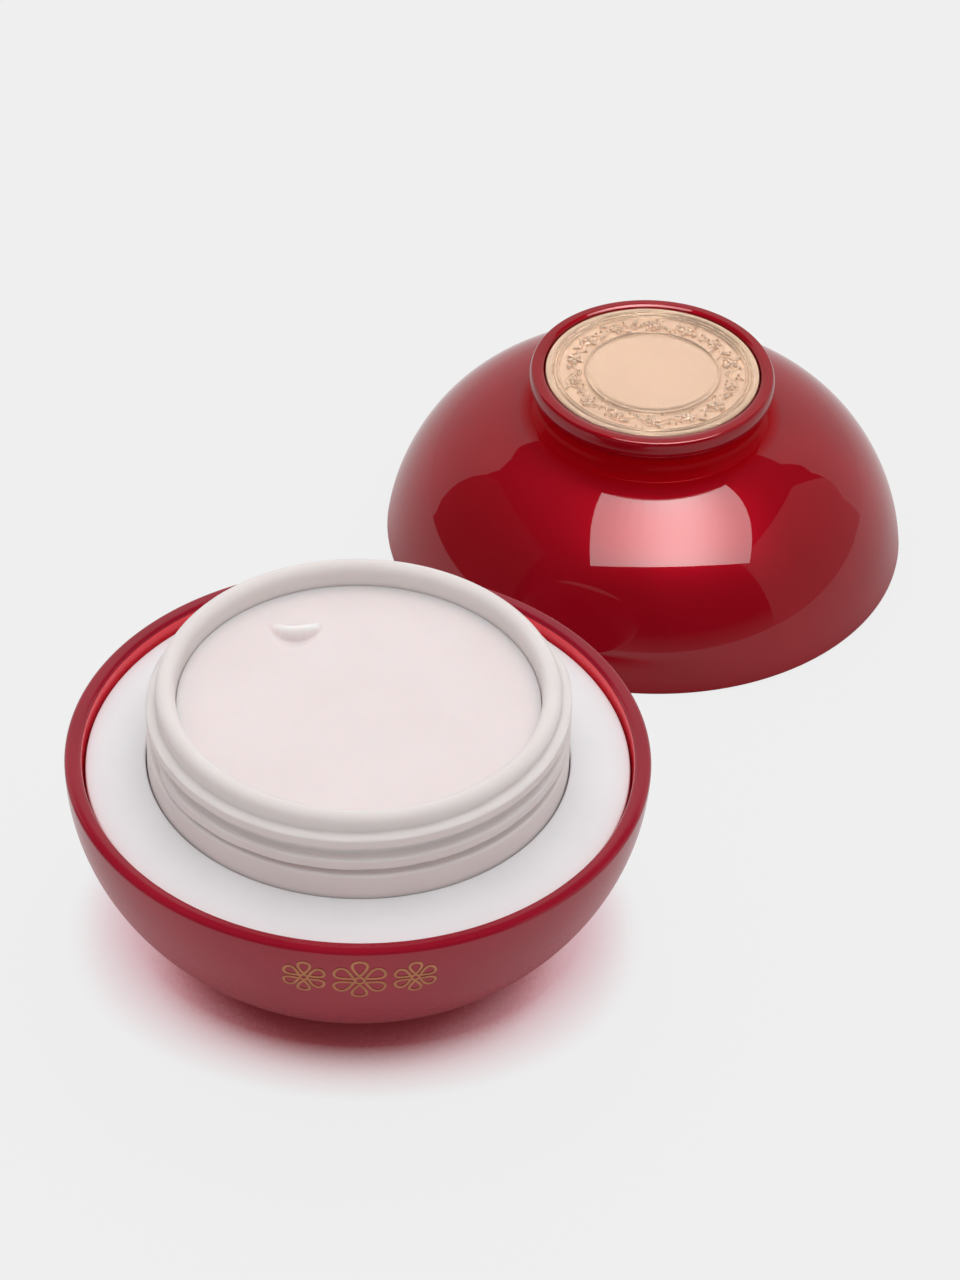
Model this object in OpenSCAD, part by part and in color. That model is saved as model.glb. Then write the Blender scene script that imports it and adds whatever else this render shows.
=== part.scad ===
// Screw-top cream jar with its lid taken off and stood on its open rim beside it.
// Double-walled: a lacquered bowl holds a threaded cup, and a lacquered lid shell holds a threaded liner.
// The origin is on the jar's axis, at the table. All sizes are in millimetres.

/* [Jar shell] */
// Outer diameter of the jar and of the lid, at the rims that meet
jar_d = 72; // [70:0.5:90]
// Height of the jar's rim above the table
jar_h = 31; // [26:0.5:40]
// Diameter of the foot
foot_d = 27.8; // [20:0.2:34]
// Height of the bowl's own lowest point above the table, inside the foot
bowl_lift = 0.4; // [0.2:0.1:1.5]
// Width of the flat top of the jar's rim, and of the lid's
rim_w = 2.1; // [1.6:0.1:3]
// Wall of the bowl below its rim
shell_wall = 3.3; // [2.6:0.1:4]
// Floor of the bowl
shell_floor = 3.1; // [2:0.1:4.5]
// Depth below the rim of the ledge that carries the cup's flange
ledge_drop = 4; // [3.8:0.1:6]
// Rounding of the rims' edges
rim_round = 0.5; // [0.2:0.1:0.8]

/* [Cup and neck] */
// Diameter of the neck between the threads
neck_d = 49.4; // [40:0.2:50.6]
// Height of the neck above the jar's rim
neck_h = 11; // [9:0.5:16]
// Wall of the neck
neck_wall = 2.4; // [1.6:0.1:3]
// Gap between the cup's bottom and the bowl's floor
cup_gap = 2.9; // [1.5:0.1:5]
// Height of the cup's rounded bottom
cup_round = 13; // [10:0.5:16]
// Thickness of the cup's bottom
cup_floor = 1.6; // [1:0.1:3]
// Thickness of the cup's flange
flange_t = 1.2; // [0.8:0.1:1.6]
// Height above the jar's rim of the plain band below the threads
band_h = 2.7; // [1:0.1:3.5]

/* [Thread] */
// Rise of the thread in one turn
pitch = 3.2; // [2.4:0.1:3.6]
// Depth of the thread
thread_depth = 1.2; // [0.8:0.1:1.6]
// Width of the thread at its root
thread_root_w = 1.7; // [1.2:0.1:1.8]
// Width of the thread at its crest
thread_crest_w = 1; // [0.6:0.1:1.2]
// Turns of thread on the neck
neck_turns = 1.6; // [1.2:0.1:1.8]
// Turns of thread in the liner
liner_turns = 1.3; // [1:0.1:1.5]
// Depth of the thread's upper start below the top of the neck
thread_drop = 2; // [1.6:0.1:3]

/* [Collar] */
// Depth below the jar's rim of the collar's edge at the neck
collar_in_drop = 0.4; // [0.2:0.1:0.8]
// Depth below the jar's rim of the collar's outer edge
collar_out_drop = 1.5; // [1:0.1:1.8]
// Thickness of the collar
collar_t = 1; // [0.8:0.1:1.2]

/* [Cream] */
// Depth of the cream's edge below the top of the neck
fill_drop = 2.9; // [2:0.1:8]
// Rise of the cream's middle above its edge
cream_crown = 0.25; // [0:0.05:1]
// Distance of the cream's peak from the jar's axis
peak_offset = 13.6; // [0:0.2:16]
// Bearing of the cream's peak, from +X towards +Y
peak_bearing = 129; // [0:1:359]
// Height of the cream's peak
peak_h = 1.5; // [0.5:0.1:3]
// Width of the cream's peak at its base
peak_w = 6.4; // [3:0.2:10]

/* [Lid shell] */
// Height of the lid above the top of the neck, when it is screwed on
lid_rise = 16.9; // [16:0.1:24]
// Width of the round ring on top of the lid, outside the medallion's recess
ring_w = 1.95; // [1.9:0.05:2.6]
// Radius of the ring's rounded edge
ring_round = 1.55; // [1.2:0.05:1.6]
// Depth of the waist under the ring's edge
waist_in = 1.4; // [0.6:0.1:2]
// Radius of the waist's hollow
waist_round = 2.4; // [1.8:0.1:3]
// Wall of the lid shell
lid_wall = 2.6; // [2:0.1:3]
// Thickness of the top of the lid shell's dome
lid_top = 2; // [1.5:0.1:3]
// Thickness of the plate under the medallion
plate_t = 2; // [1.5:0.1:3]
// Depth of the lid's ledge that the liner's flange meets, above the open rim
lid_ledge = 2; // [1.6:0.1:3]

/* [Liner and gasket] */
// Wall of the liner's skirt
liner_wall = 1.1; // [0.9:0.1:1.4]
// Thickness of the liner's top
liner_top = 1.3; // [1:0.1:1.6]
// Rounding of the liner's upper corner
liner_round = 2.5; // [2:0.1:3]
// Thickness of the liner's flange
liner_flange = 1.2; // [0.8:0.1:1.4]
// Thickness of the foam gasket
gasket_t = 1.2; // [0.8:0.1:2]

/* [Medallion] */
// Diameter of the metal medallion
medallion_d = 29.4; // [24:0.2:36]
// Thickness of the medallion at its raised rings
medallion_t = 1.2; // [1:0.1:2]
// Diameter of the medallion's plain middle
middle_d = 17.6; // [14:0.2:20]
// Height of the medallion's rings above the band between them
relief = 0.4; // [0.2:0.05:0.6]
// Thickness of the adhesive pad
pad_t = 0.2; // [0.1:0.05:0.3]
// Depth of the medallion's raised rings below the top of the lid
medallion_drop = 0.1; // [0:0.05:0.4]

/* [Where the lid stands] */
// Clear distance between the jar and the lid
lid_gap = 20.4; // [5:0.2:60]
// Bearing of the lid from the jar, from +X towards +Y
lid_bearing = 66.5; // [0:0.5:359]

/* [Fits] */
// Radial clearance between the two threads
thread_clear = 0.4; // [0.3:0.05:0.6]
// Radial clearance of a flange or a collar in its bore
seat_clear = 0.3; // [0.1:0.05:0.4]
// Gap between the cream and the cup
cream_clear = 0.1; // [0.05:0.05:0.3]
// Radial clearance of the gasket in the liner
gasket_clear = 0.4; // [0.3:0.05:0.6]
// Radial clearance of the medallion in its recess
medallion_clear = 0.25; // [0.1:0.05:0.4]

/* [Hidden] */

$fn = 96;
curve_steps = 28;              // points along a bowl's outline
arc_steps = 10;                // points along a small rounding
thread_steps = 40;             // sections in one turn of thread
lid_power = 1.55;              // how soon the lid's outline turns in above its rim
lid_fullness = 4;              // how square its shoulder is
foot_chamfer = 0.6;
band_bevel = 0.4;              // height of the slope on top of the neck's band
lip_bevel = 0.15;               // bevel at the mouth of the medallion's recess
embed = 0.3;                   // depth to which a thread or the cream's peak is rooted
lead_angle = 25;               // angle over which a thread runs out
thread_start = 40;             // bearing of a thread's upper end when the lid is screwed home

jar_r = jar_d / 2;
foot_r = foot_d / 2;
bowl_depth = jar_h - bowl_lift;
rim_in_r = jar_r - rim_w;
bore_taper = 0.3;              // narrowing of the bore from the rim down to the ledge
bore_r = rim_in_r - bore_taper;
ledge_z = jar_h - ledge_drop;
cavity_r = jar_r - shell_wall;
cavity_depth = jar_h - shell_floor;

neck_r = neck_d / 2;
neck_in_r = neck_r - neck_wall;
neck_top = jar_h + neck_h;
crest_r = neck_r + thread_depth;
cup_z = shell_floor + cup_gap;
flange_r = bore_r - seat_clear;
flange_top = ledge_z + flange_t;

lid_r = jar_r;
lid_h = neck_h + lid_rise;
pocket_r = medallion_d / 2 + medallion_clear;
ring_r = pocket_r + ring_w;
ring_c = [ring_r - ring_round, lid_h - ring_round];
waist_x = ring_r - waist_in + waist_round;
waist_c = [waist_x, ring_c.y - sqrt(pow(ring_round + waist_round, 2) - pow(waist_x - ring_c.x, 2))];
join_angle = atan2(ring_c.y - waist_c.y, ring_c.x - waist_c.x);
dome_top = waist_c.y - waist_round;
lid_bowl_h = dome_top / pow(1 - pow(waist_x / lid_r, lid_fullness), 1 / lid_power);
lid_cavity_r = lid_r - lid_wall;
lid_cavity_h = lid_bowl_h - lid_top;
pocket_z = lid_h - medallion_drop - medallion_t - pad_t;
plate_rest = 3.4;              // width of solid wall under the plate's edge
hub_r = pocket_r - plate_rest;

liner_r = crest_r + thread_clear;
liner_out_r = liner_r + liner_wall;
gasket_z = neck_h;             // the gasket meets the neck as the two rims meet
liner_roof = gasket_z + gasket_t;
liner_h = liner_roof + liner_top;
gasket_r = liner_r - gasket_clear;
bead_w = 0.8;                  // the bead that keeps the gasket in
bead_drop = 0.7;               // its depth below the gasket
bead_grip = 0.3;               // how far it reaches under the gasket

rail_w = 0.9;                  // width of the medallion's outer ring
pad_inset = 1.2;               // the pad is this much smaller than the medallion all round

lid_at = (jar_r + lid_r + lid_gap) * [cos(lid_bearing), sin(lid_bearing)];

// Points along an arc from angle a0 to a1
function arc(c, r, a0, a1, n = arc_steps) =
    [for (i = [0:n]) let (a = a0 + (a1 - a0) * i / n) c + r * [cos(a), sin(a)]];

// Points down an elliptical bowl that opens upwards at z_rim, from angle a0 to a1 below its rim
function bowl(r, depth, z_rim, a0, a1, n = curve_steps) =
    [for (i = [0:n]) let (a = a0 + (a1 - a0) * i / n) [r * cos(a), z_rim - depth * sin(a)]];

// The same points in the other order
function reversed(v) = [for (i = [len(v) - 1:-1:0]) v[i]];

// Radius of a lid-shaped dome of base radius r and height h, at height z
function dome_r(r, h, z) = r * pow(1 - pow(z / h, lid_power), 1 / lid_fullness);

// Points up such a dome from z0 to z1, closer together where it turns in
function dome(r, h, z0, z1, n = curve_steps) =
    [for (i = [0:n]) let (z = z0 + (z1 - z0) * sin(90 * i / n)) [dome_r(r, h, z), z]];

// Points down the inside of the cup, kept a gap away from its wall, from height top to its bottom
function cup_inside(gap, top) =
    concat([[neck_in_r - gap, top]],
           bowl(neck_in_r - gap, cup_round - cup_floor - gap, cup_z + cup_round, 0, 90));

// One thread, climbing anticlockwise from the bottom; side is 1 outside a wall and -1 inside it
module thread(wall_r, side, turns, z_top) {
    n = ceil(turns * thread_steps);
    lead = ceil(lead_angle * thread_steps / 360);
    root = wall_r - side * embed;
    function out(i) = wall_r - side * embed / 2
        + side * (thread_depth + embed / 2) * min(1, min(i, n - i) / lead);
    function section(i) = let (a = thread_start - 360 * turns + 360 * turns * i / n,
                               z = z_top - pitch * turns * (1 - i / n),
                               w = thread_root_w / 2, c = thread_crest_w / 2)
        [for (p = [[root, -w], [out(i), -c], [out(i), c], [root, w]])
            [p.x * cos(a), p.x * sin(a), z + p.y]];
    points = [for (i = [0:n]) each section(i)];
    sides = [for (i = [0:n - 1], k = [0:3]) let (a = 4 * i + k, b = 4 * i + (k + 1) % 4)
        side > 0 ? [a, b, b + 4, a + 4] : [a, a + 4, b + 4, b]];
    ends = side > 0 ? [[3, 2, 1, 0], [4 * n, 4 * n + 1, 4 * n + 2, 4 * n + 3]]
                    : [[0, 1, 2, 3], [4 * n + 3, 4 * n + 2, 4 * n + 1, 4 * n]];
    polyhedron(points, concat(sides, ends), convexity = 6);
}

// Lacquered outer bowl, with a ledge for the cup's flange
module base_shell() {
    color([0.62, 0.07, 0.12])
    rotate_extrude()
    polygon(concat(
        arc([jar_r - rim_round, jar_h - rim_round], rim_round, 90, 0),
        bowl(jar_r, bowl_depth, jar_h, asin(rim_round / bowl_depth), acos(foot_r / jar_r)),
        [[foot_r, foot_chamfer], [foot_r - foot_chamfer, 0], [0, 0]],
        reversed(bowl(cavity_r, cavity_depth, jar_h, asin(ledge_drop / cavity_depth), 90)),
        [[bore_r, ledge_z]],
        arc([rim_in_r + rim_round, jar_h - rim_round], rim_round, 180, 90)));
}

// Threaded cup that holds the cream, hung from the ledge by its flange
module inner_cup() {
    lip = neck_wall / 2;
    color([0.92, 0.90, 0.88])
    union() {
        rotate_extrude()
        polygon(concat(
            arc([neck_in_r + lip, neck_top - lip], lip, 170, 0),
            [[neck_r, jar_h + band_h + band_bevel], [crest_r, jar_h + band_h], [crest_r, flange_top],
             [flange_r, flange_top], [flange_r, ledge_z], [neck_r, ledge_z]],
            bowl(neck_r, cup_round, cup_z + cup_round, 0, 90),
            reversed(cup_inside(0, neck_top - lip))));
        thread(neck_r, 1, neck_turns, neck_top - thread_drop);
    }
}

// Satin ring that covers the flange between the neck and the red wall
module shoulder_collar() {
    r0 = crest_r + seat_clear / 2;
    r1 = bore_r - seat_clear / 2;
    z0 = jar_h - collar_in_drop;
    z1 = jar_h - collar_out_drop;
    function top(r) = z0 + (z1 - z0) * (r - r0) / (r1 - r0);
    color([0.90, 0.89, 0.90])
    rotate_extrude()
    polygon([[r0, flange_top], [r0 + collar_t, flange_top], [r0 + collar_t, top(r0 + collar_t) - collar_t],
             [r1 - collar_t, top(r1 - collar_t) - collar_t],
             [r1 - collar_t, flange_top], [r1, flange_top], [r1, z1], [r0, z0]]);
}

// Cream that fills the cup, with a small peak left by the filling nozzle
module cream() {
    edge_z = neck_top - fill_drop;
    edge_r = neck_in_r - cream_clear;
    crown_r = (pow(edge_r, 2) + pow(cream_crown, 2)) / (2 * max(cream_crown, 0.01));
    color([0.91, 0.86, 0.86])
    union() {
        rotate_extrude()
        polygon(concat(
            [for (i = [0:arc_steps]) let (r = edge_r * i / arc_steps)
                [r, edge_z + cream_crown - crown_r + sqrt(pow(crown_r, 2) - r * r)]],
            cup_inside(cream_clear, edge_z)));
        rotate(peak_bearing)
        translate([peak_offset, 0, edge_z - embed])
        cylinder(h = peak_h + embed, d1 = peak_w, d2 = peak_w / 5);
    }
}

// Places a piece of the lid where the lid stands
module at_lid() {
    translate([lid_at.x, lid_at.y, 0]) children();
}

// Lacquered dome with a waist and a round ring, which holds the medallion
module lid_shell() {
    color([0.55, 0.02, 0.06])
    at_lid()
    rotate_extrude()
    polygon(concat(
        [[rim_in_r, 0]],
        arc([lid_r - rim_round, rim_round], rim_round, -90, 0),
        dome(lid_r, lid_bowl_h, 2 * rim_round, dome_top),
        arc(waist_c, waist_round, 270, join_angle),
        arc(ring_c, ring_round, join_angle - 180, 90, 2 * arc_steps),
        [[pocket_r + lip_bevel, lid_h], [pocket_r, lid_h - lip_bevel], [pocket_r, pocket_z], [0, pocket_z],
         [0, pocket_z - plate_t], [hub_r, pocket_z - plate_t]],
        [for (i = [0:curve_steps]) let (r = hub_r + (dome_r(lid_cavity_r, lid_cavity_h, lid_ledge) - hub_r)
                                            * sin(90 * i / curve_steps))
            [r, lid_cavity_h * pow(1 - pow(r / lid_cavity_r, lid_fullness), 1 / lid_power)]],
        [[rim_in_r, lid_ledge]]));
}

// Threaded liner, seated on the lid shell's ledge by its flange
module lid_liner() {
    bead_z = gasket_z - bead_drop;
    color([0.92, 0.90, 0.88])
    at_lid()
    union() {
        rotate_extrude()
        polygon(concat(
            [[liner_r, lid_ledge - liner_flange], [rim_in_r - seat_clear, lid_ledge - liner_flange],
             [rim_in_r - seat_clear, lid_ledge], [liner_out_r, lid_ledge]],
            arc([liner_out_r - liner_round, liner_h - liner_round], liner_round, 0, 90),
            [[0, liner_h], [0, liner_roof], [liner_r, liner_roof], [liner_r, bead_z + bead_w / 2],
             [gasket_r - bead_grip, bead_z], [liner_r, bead_z - bead_w / 2]]));
        thread(liner_r, -1, liner_turns, neck_h - thread_drop - pitch / 2);
    }
}

// Loose foam gasket that seals on the neck and lets the lid turn over it
module lid_gasket() {
    color([0.96, 0.95, 0.93])
    at_lid()
    translate([0, 0, gasket_z])
    cylinder(h = gasket_t, r = gasket_r);
}

// Stamped metal medallion: a plain middle and a sunk band between raised rings
module medallion() {
    r = medallion_d / 2;
    m = middle_d / 2;
    top = medallion_t;
    band = medallion_t - relief;
    step = relief / 2;
    color([0.90, 0.72, 0.56])
    at_lid()
    translate([0, 0, pocket_z + pad_t])
    rotate_extrude()
    polygon([[0, 0], [r, 0], [r, top - step], [r - step, top], [r - rail_w, top],
             [r - rail_w - step, top - step], [r - 1.5 * rail_w, top - step], [r - 1.5 * rail_w - step, band],
             [m + rail_w / 2, band], [m + rail_w / 4, band + step], [m, band + step],
             [m - step / 2, band + step / 2], [0, band + step / 2]]);
}

// Adhesive pad that holds the medallion in its recess
module medallion_pad() {
    color([0.85, 0.85, 0.82])
    at_lid()
    translate([0, 0, pocket_z])
    cylinder(h = pad_t, r = medallion_d / 2 - pad_inset);
}

base_shell();
inner_cup();
shoulder_collar();
cream();
lid_shell();
lid_liner();
lid_gasket();
medallion();
medallion_pad();
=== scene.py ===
import math

import bmesh
import bpy
from mathutils import Matrix, Vector, noise


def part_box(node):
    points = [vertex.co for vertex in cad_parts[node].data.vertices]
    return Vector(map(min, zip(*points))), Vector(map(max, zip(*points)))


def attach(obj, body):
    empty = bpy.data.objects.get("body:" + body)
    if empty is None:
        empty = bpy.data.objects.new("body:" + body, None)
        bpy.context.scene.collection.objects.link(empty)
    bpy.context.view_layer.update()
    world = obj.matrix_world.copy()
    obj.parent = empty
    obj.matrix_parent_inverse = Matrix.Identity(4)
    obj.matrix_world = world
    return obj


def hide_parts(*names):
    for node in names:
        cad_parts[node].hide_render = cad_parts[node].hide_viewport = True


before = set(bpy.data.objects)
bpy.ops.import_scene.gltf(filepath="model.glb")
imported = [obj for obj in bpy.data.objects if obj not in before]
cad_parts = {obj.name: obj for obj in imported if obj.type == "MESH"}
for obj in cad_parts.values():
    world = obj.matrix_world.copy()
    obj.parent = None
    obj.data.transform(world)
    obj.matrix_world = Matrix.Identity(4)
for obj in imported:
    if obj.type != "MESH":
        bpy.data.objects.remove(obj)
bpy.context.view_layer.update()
mm = 0.001
tau = 2 * math.pi
scene = bpy.context.scene

shellLow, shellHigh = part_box("base_shell")
cupLow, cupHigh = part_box("inner_cup")
collarLow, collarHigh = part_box("shoulder_collar")
lidLow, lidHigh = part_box("lid_shell")
gasketLow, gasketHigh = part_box("lid_gasket")
medalLow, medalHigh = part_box("medallion")
jarRadius = (shellHigh[0] - shellLow[0]) / 2
rimZ = shellHigh[2]
neckTop = cupHigh[2]
lidHeight = lidHigh[2]
lidX = (lidLow[0] + lidHigh[0]) / 2
lidY = (lidLow[1] + lidHigh[1]) / 2
print("frame read: jar radius %.1f mm, rim at %.1f mm" % (jarRadius / mm, rimZ / mm))


def arc(cx, cz, r, a0, a1, n=8):  # points on an arc, angles in degrees
    out = []
    for i in range(n + 1):
        a = math.radians(a0 + (a1 - a0) * i / n)
        out.append((cx + r * math.cos(a), cz + r * math.sin(a)))
    return out


def dense(points, step):  # adds points along long straight stretches and drops repeated ones
    out = [points[0]]
    for p, q in zip(points, points[1:]):
        if math.dist(p, q) < 1e-9:
            continue
        n = max(1, math.ceil(math.dist(p, q) / step))
        for i in range(1, n + 1):
            out.append((p[0] + (q[0] - p[0]) * i / n, p[1] + (q[1] - p[1]) * i / n))
    return out


def ellipse(rx, rz, zTop, a0, a1, n):  # points down a bowl that opens upwards at zTop
    out = []
    for i in range(n + 1):
        a = math.radians(a0 + (a1 - a0) * i / n)
        out.append((rx * math.cos(a), zTop - rz * math.sin(a)))
    return out


def addObject(name, mesh):
    obj = bpy.data.objects.new(name, mesh)
    scene.collection.objects.link(obj)
    return obj


# turns an outline of (radius, height) round an upright axis; bend may move each point
def lathe(name, outline, segments, centre=(0.0, 0.0), closed=False, bend=None):
    bm = bmesh.new()
    rings = []
    for r, z in outline:
        if r < 1e-7:
            zz = z if bend is None else bend(0.0, 0.0, z)[1]
            rings.append([bm.verts.new((centre[0], centre[1], zz))])
            continue
        ring = []
        for k in range(segments):
            a = tau * k / segments
            rr, zz = (r, z) if bend is None else bend(a, r, z)
            ring.append(bm.verts.new((centre[0] + rr * math.cos(a), centre[1] + rr * math.sin(a), zz)))
        rings.append(ring)
    pairs = list(zip(rings, rings[1:]))
    if closed:
        pairs.append((rings[-1], rings[0]))
    for low, high in pairs:
        for k in range(segments):
            j = (k + 1) % segments
            if len(low) == 1:
                bm.faces.new((low[0], high[j], high[k]))
            elif len(high) == 1:
                bm.faces.new((low[k], low[j], high[0]))
            else:
                bm.faces.new((low[k], low[j], high[j], high[k]))
    bmesh.ops.recalc_face_normals(bm, faces=bm.faces)
    mesh = bpy.data.meshes.new(name)
    bm.to_mesh(mesh)
    bm.free()
    mesh.polygons.foreach_set("use_smooth", [True] * len(mesh.polygons))
    return addObject(name, mesh)


# height of a screw thread above its wall at bearing a and height z
def threadHeight(a, z, thread, zTop):
    best = 0.0
    first = ((thread["start"] - math.degrees(a)) % 360) / 360
    for k in range(math.ceil(thread["turns"]) + 1):
        turn = first + k
        if turn > thread["turns"]:
            break
        away = abs(z - (zTop - thread["pitch"] * turn))
        flank = (away - thread["crest"] / 2) / ((thread["root"] - thread["crest"]) / 2)
        flank = min(1.0, max(0.0, flank))
        h = 1 - flank * flank * (3 - 2 * flank)
        run = min(1.0, turn / thread["lead"], (thread["turns"] - turn) / thread["lead"])
        best = max(best, h * run * run * (3 - 2 * run))
    return best * thread["depth"]


class Nodes:  # a short way to add and join nodes in one tree
    def __init__(self, tree):
        self.tree = tree

    def add(self, kind, **settings):
        node = self.tree.nodes.new(kind)
        for key, value in settings.items():
            setattr(node, key, value)
        return node

    def put(self, node, **inputs):
        for key, value in inputs.items():
            node.inputs[key.replace("_", " ")].default_value = value
        return node

    def join(self, a, out, b, into):
        self.tree.links.new(a.outputs[out], b.inputs[into])

    def feed(self, item, node, socket):  # item is (node, output) or a plain number
        if isinstance(item, tuple):
            self.join(item[0], item[1], node, socket)
        else:
            node.inputs[socket].default_value = item

    def calc(self, operation, *items):
        node = self.add("ShaderNodeMath", operation=operation)
        for i, item in enumerate(items):
            self.feed(item, node, i)
        return node, "Value"

    def vector(self, *items):
        node = self.add("ShaderNodeCombineXYZ")
        for i, item in enumerate(items):
            self.feed(item, node, i)
        return node, "Vector"


def newMaterial(name):
    mat = bpy.data.materials.new(name)
    mat.use_nodes = True
    n = Nodes(mat.node_tree)
    shader = mat.node_tree.nodes["Principled BSDF"]
    place = n.add("ShaderNodeTexCoord")
    return mat, n, shader, place


def noiseFrom(n, place, scale, detail=3.0, rough=0.5, stretch=(1, 1, 1)):
    mapping = n.add("ShaderNodeMapping")
    mapping.inputs["Scale"].default_value = stretch
    n.join(place, "Object", mapping, "Vector")
    tex = n.add("ShaderNodeTexNoise")
    n.put(tex, Scale=scale, Detail=detail, Roughness=rough)
    n.join(mapping, "Vector", tex, "Vector")
    return tex


def rampFrom(n, source, out, stops):  # stops are (position, colour)
    ramp = n.add("ShaderNodeValToRGB")
    while len(ramp.color_ramp.elements) < len(stops):
        ramp.color_ramp.elements.new(0.5)
    for element, (pos, colour) in zip(ramp.color_ramp.elements, stops):
        element.position = pos
        element.color = (*colour, 1.0)
    n.join(source, out, ramp, "Fac")
    return ramp


def toneFrom(n, place, shader, scale, detail, dark, light):  # mottled base colour
    cloud = noiseFrom(n, place, scale, detail)
    tone = rampFrom(n, cloud, "Fac", [(0.3, dark), (0.7, light)])
    n.join(tone, "Color", shader, "Base Color")
    return cloud, tone


def rangeFrom(n, source, out, low, high, fromLow=0.0, fromHigh=1.0):
    node = n.add("ShaderNodeMapRange")
    n.put(node, From_Min=fromLow, From_Max=fromHigh, To_Min=low, To_Max=high)
    n.join(source, out, node, "Value")
    return node


def bumpFrom(n, shader, sources, strength, distance, socket="Normal"):  # sources are (node, output)
    last = None
    for source, out, share in sources:
        bump = n.add("ShaderNodeBump")
        n.put(bump, Strength=strength * share, Distance=distance)
        n.join(source, out, bump, "Height")
        if last:
            n.join(last, "Normal", bump, "Normal")
        last = bump
    n.join(last, "Normal", shader, socket)


lacquer = {
    "lidDark": (0.265, 0.002, 0.007), "lidLight": (0.315, 0.003, 0.011),
    "baseDark": (0.28, 0.005, 0.018), "baseLight": (0.33, 0.008, 0.024),
    "metal": 0.10, "roughness": 0.32, "lidGloss": 0.02, "baseGloss": 0.10, "lidCoat": 1.41, "baseCoat": 1.46,
    # the waist keys paint a reflection into the hollow under the lid's ring: a brighter red where the coat is
    # turned down
    "waistFrom": 7.05 * mm, "waistTo": 2.7 * mm, "waistReflectionRed": (0.40, 0.001, 0.005), "waistCoat": 0.12,
}


def paintWaistReflection(n, place, shader, tone):  # painted reflection: in the hollow under the ring the coat is turned down and a brighter red is painted in, standing in for the ring's own red mirrored there
    split = n.add("ShaderNodeSeparateXYZ")
    n.join(place, "Object", split, "Vector")
    low = lidHeight - lacquer["waistFrom"]
    height = rangeFrom(n, split, "Z", 0.0, 1.0, low, lidHeight - lacquer["waistTo"])
    off, on = (0, 0, 0), (1, 1, 1)
    band = rampFrom(n, height, "Result", [(0.0, off), (0.08, on), (0.72, on), (1.0, off)])
    mix = n.add("ShaderNodeMix", data_type="RGBA")
    n.join(band, "Color", mix, "Factor")
    n.join(tone, "Color", mix, "A")
    # the painted reflection colour for the waist band
    mix.inputs["B"].default_value = (*lacquer["waistReflectionRed"], 1)
    n.join(mix, "Result", shader, "Base Color")
    n.join(rangeFrom(n, band, "Color", 1.0, lacquer["waistCoat"]), "Result", shader, "Coat Weight")


def makeLacquer(name, dark, light, coatRoughness, coatIor, paintsWaistReflection):
    mat, n, shader, place = newMaterial(name)
    tone = toneFrom(n, place, shader, 60, 2, dark, light)[1]
    flake = n.add("ShaderNodeTexVoronoi")  # fine metallic flake under the clear coat
    n.put(flake, Scale=9000.0)
    n.join(place, "Object", flake, "Vector")
    wear = noiseFrom(n, place, 400, 4)
    n.join(rangeFrom(n, wear, "Fac", lacquer["roughness"] - 0.04, lacquer["roughness"] + 0.05),
           "Result", shader, "Roughness")
    n.put(shader, Metallic=lacquer["metal"], Coat_Weight=1.0, Coat_IOR=coatIor,
          Coat_Roughness=coatRoughness, Specular_IOR_Level=0.0)
    bumpFrom(n, shader, [(flake, "Distance", 1.0)], 0.05, 0.00002)
    peel = noiseFrom(n, place, 260, 1)  # faint orange peel in the coat
    bumpFrom(n, shader, [(peel, "Fac", 1.0)], 0.02, 0.0001, "Coat Normal")
    # the lid's lacquer gets the painted waist reflection
    if paintsWaistReflection:
        paintWaistReflection(n, place, shader, tone)
    return mat


def makeLitBore():  # red wall seen inside the rim, brighter than the outside: partly the plastic's own red, partly painted light standing in for light passing through the clear red wall
    mat, n, shader, place = newMaterial("boreLitRedWall")
    cloud = toneFrom(n, place, shader, 120, 2, (0.78, 0.028, 0.050), (0.86, 0.036, 0.060))[0]
    n.join(rangeFrom(n, cloud, "Fac", 0.18, 0.26), "Result", shader, "Roughness")
    n.put(shader, Subsurface_Weight=0.4, Subsurface_Scale=0.002)
    shader.inputs["Subsurface Radius"].default_value = (1.0, 0.1, 0.1)
    bumpFrom(n, shader, [(cloud, "Fac", 1.0)], 0.05, 0.0001)
    return mat


def makePlastic(name, dark, light, roughness, grain, subsurface):
    mat, n, shader, place = newMaterial(name)
    toneFrom(n, place, shader, 90, 3, dark, light)
    fine = noiseFrom(n, place, grain, 3, 0.6)
    n.join(rangeFrom(n, fine, "Fac", roughness - 0.05, roughness + 0.06), "Result", shader, "Roughness")
    n.put(shader, Subsurface_Weight=subsurface, Subsurface_Scale=0.0015, IOR=1.5)
    shader.inputs["Subsurface Radius"].default_value = (1.0, 0.75, 0.65)
    bumpFrom(n, shader, [(fine, "Fac", 1.0)], 0.06, 0.00006)
    return mat


def makePaste():
    mat, n, shader, place = newMaterial("creamPaste")
    cloud, tone = toneFrom(n, place, shader, 110, 3, (0.80, 0.705, 0.70), (0.825, 0.735, 0.73))
    # painted highlight: the lifted crest of the curl is mixed toward near-white, standing in for light
    # catching its top
    crest = n.add("ShaderNodeAttribute", attribute_name="crest")
    mix = n.add("ShaderNodeMix", data_type="RGBA")
    n.join(crest, "Fac", mix, "Factor")
    n.join(tone, "Color", mix, "A")
    mix.inputs["B"].default_value = (0.95, 0.93, 0.91, 1)
    n.join(mix, "Result", shader, "Base Color")
    fine = noiseFrom(n, place, 900, 4, 0.6)
    n.join(rangeFrom(n, fine, "Fac", 0.42, 0.55), "Result", shader, "Roughness")
    n.put(shader, Subsurface_Weight=0.5, Subsurface_Scale=0.0025, Coat_Weight=0.15, Coat_Roughness=0.3)
    shader.inputs["Subsurface Radius"].default_value = (1.0, 0.6, 0.5)
    bumpFrom(n, shader, [(cloud, "Fac", 1.0), (fine, "Fac", 0.4)], 0.10, 0.0002)
    return mat


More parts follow.
